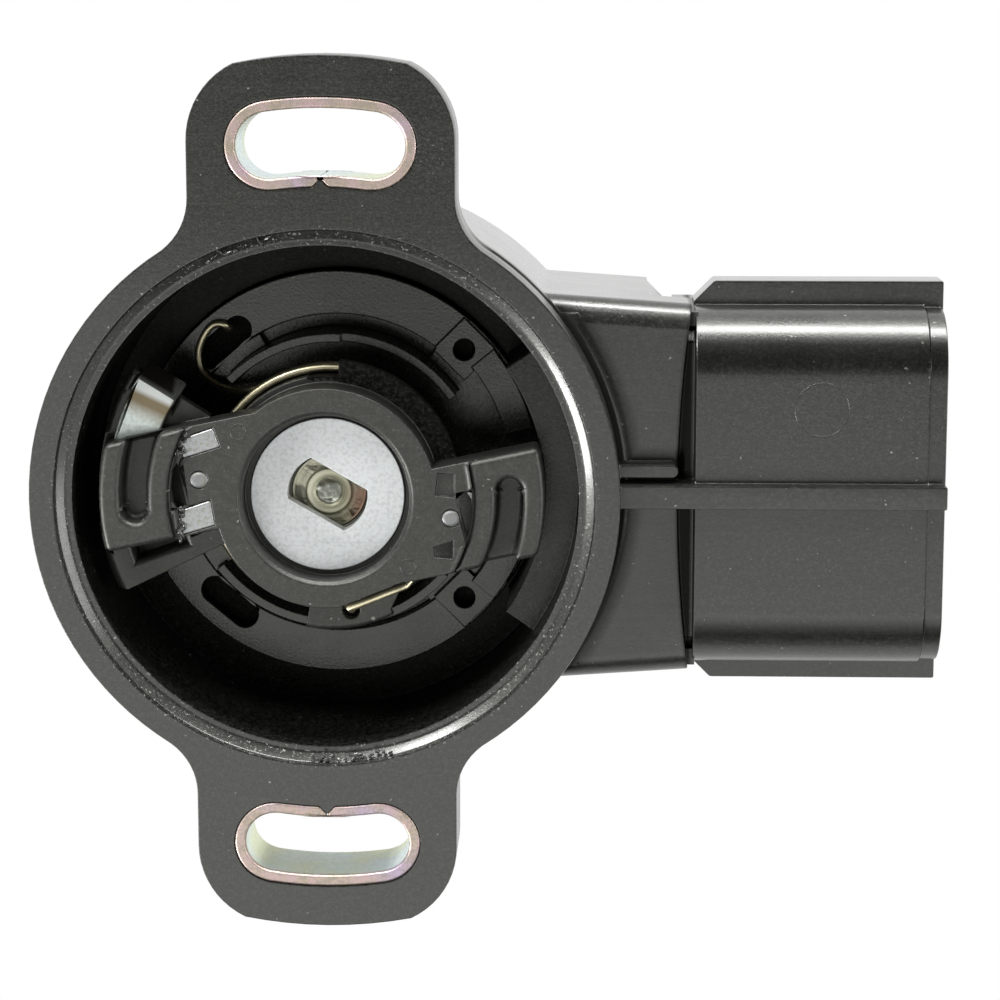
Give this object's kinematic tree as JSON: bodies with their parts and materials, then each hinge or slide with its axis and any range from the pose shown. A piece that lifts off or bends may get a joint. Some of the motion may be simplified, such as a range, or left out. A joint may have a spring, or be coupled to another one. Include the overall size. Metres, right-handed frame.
{
  "type": "throttle position sensor",
  "caption": "Throttle position sensor: moulded cup housing with slotted ears and a side connector, and a sprung rotor that carries wipers over a resistor board.",
  "frame": {"origin": "on the rotor's axis, in the plane of the mounting face at the cup's mouth", "axes": "+Z along the rotor's axis, out of the cup's mouth; +X along the connector; the ears lie along +Y and -Y"},
  "size_m": [0.0661, 0.0632, 0.0244],
  "materials": {
    "housing_plastic": "satin black glass-filled moulding",
    "rotor_plastic": "matte black moulding",
    "base_plastic": "satin black moulding",
    "plated_steel": "rolled steel with a pale yellow to pink passivated plating",
    "zinc_plate": "bright zinc plating",
    "turned_steel": "turned, faint rings",
    "bronze": "sintered bronze",
    "spring_wire": "drawn wire with a pale gold tone",
    "contact_alloy": "thin springy strip",
    "board": "pale laminate",
    "carbon_ink": "printed carbon",
    "tinned_blade": "tinned",
    "potting": "glossy sealing resin"
  },
  "bodies": {
    "body": {"housing": "housing_plastic", "upper_slot_bushing": "plated_steel", "lower_slot_bushing": "plated_steel", "stator_base": "base_plastic", "bearing_bush": "bronze", "return_spring": "spring_wire", "resistor_board": "board", "signal_track": "carbon_ink", "collector_track": "carbon_ink", "idle_contact": "contact_alloy", "terminal_1": "tinned_blade", "terminal_2": "tinned_blade", "terminal_3": "tinned_blade", "terminal_4": "tinned_blade", "back_cover": "base_plastic", "potting_seal": "potting"},
    "rotor": {"rotor": "rotor_plastic", "drive_plate": "zinc_plate", "lever_insert": "zinc_plate", "rotor_shaft": "turned_steel", "left_rivet": "zinc_plate", "right_rivet": "zinc_plate", "thrust_washer": "turned_steel", "shaft_clip": "turned_steel", "wiper_carrier": "rotor_plastic", "signal_wiper": "contact_alloy", "idle_wiper": "contact_alloy"}
  },
  "joints": [
    {"name": "rotor_turn", "type": "hinge", "parent": "body", "child": "rotor", "pos_m": [0, 0, 0], "axis": [0, 0, 1], "range_deg": [0, 100], "stiffness_Nm_per_rad": 0.01, "springref_deg": -45.84, "deforming": ["return_spring"]}
  ]
}
